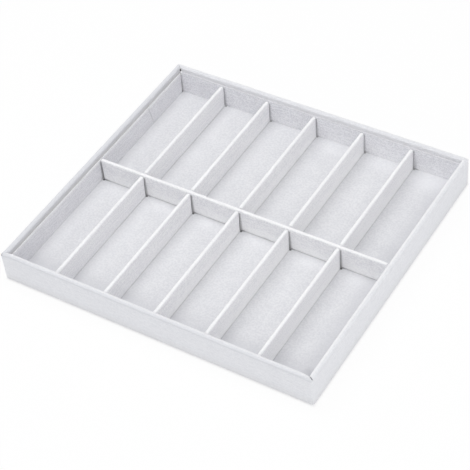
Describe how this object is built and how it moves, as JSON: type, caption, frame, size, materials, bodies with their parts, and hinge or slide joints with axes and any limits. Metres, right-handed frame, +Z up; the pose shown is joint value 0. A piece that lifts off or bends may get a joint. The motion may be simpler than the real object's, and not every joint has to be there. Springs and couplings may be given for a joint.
{
  "type": "glasses storage tray",
  "caption": "Shallow open tray wrapped in white leatherette and lined with pale velvet; velvet-covered dividers form long compartments for folded glasses.",
  "frame": {"origin": "under the middle of the tray, on the surface that it stands on", "axes": "+X along the columns of compartments, from left to right; +Y from the front row to the back row; +Z up"},
  "size_m": [0.38, 0.354, 0.0384],
  "materials": {
    "cover_leatherette": "fine grained white leatherette, satin",
    "liner_velvet": "short pile velvet",
    "divider_velvet": "short pile velvet, lighter along the crown",
    "floor_velvet": "flat suede-like velvet",
    "white_card": "uncoated card",
    "grey_board": "grey binder's board",
    "underside_paper": "matte lining paper"
  },
  "bodies": {
    "root": {"outer_cover": "cover_leatherette", "underside_paper": "underside_paper", "base_board": "grey_board", "wall_board_front": "grey_board", "wall_board_back": "grey_board", "wall_board_left": "grey_board", "wall_board_right": "grey_board", "floor_velvet": "floor_velvet", "long_divider_velvet": "divider_velvet", "liner_front_velvet": "liner_velvet", "liner_back_velvet": "liner_velvet", "liner_right_velvet": "liner_velvet", "liner_left_front_velvet": "liner_velvet", "liner_left_back_velvet": "liner_velvet", "front_divider_velvet_1": "divider_velvet", "front_divider_velvet_2": "divider_velvet", "front_divider_velvet_3": "divider_velvet", "front_divider_velvet_4": "divider_velvet", "front_divider_velvet_5": "divider_velvet", "back_divider_velvet_1": "divider_velvet", "back_divider_velvet_2": "divider_velvet", "back_divider_velvet_3": "divider_velvet", "back_divider_velvet_4": "divider_velvet", "back_divider_velvet_5": "divider_velvet", "long_divider_card": "white_card", "liner_front_card": "white_card", "liner_back_card": "white_card", "liner_right_card": "white_card", "liner_left_front_card": "white_card", "liner_left_back_card": "white_card", "front_divider_card_1": "white_card", "front_divider_card_2": "white_card", "front_divider_card_3": "white_card", "front_divider_card_4": "white_card", "front_divider_card_5": "white_card", "back_divider_card_1": "white_card", "back_divider_card_2": "white_card", "back_divider_card_3": "white_card", "back_divider_card_4": "white_card", "back_divider_card_5": "white_card"}
  },
  "joints": []
}
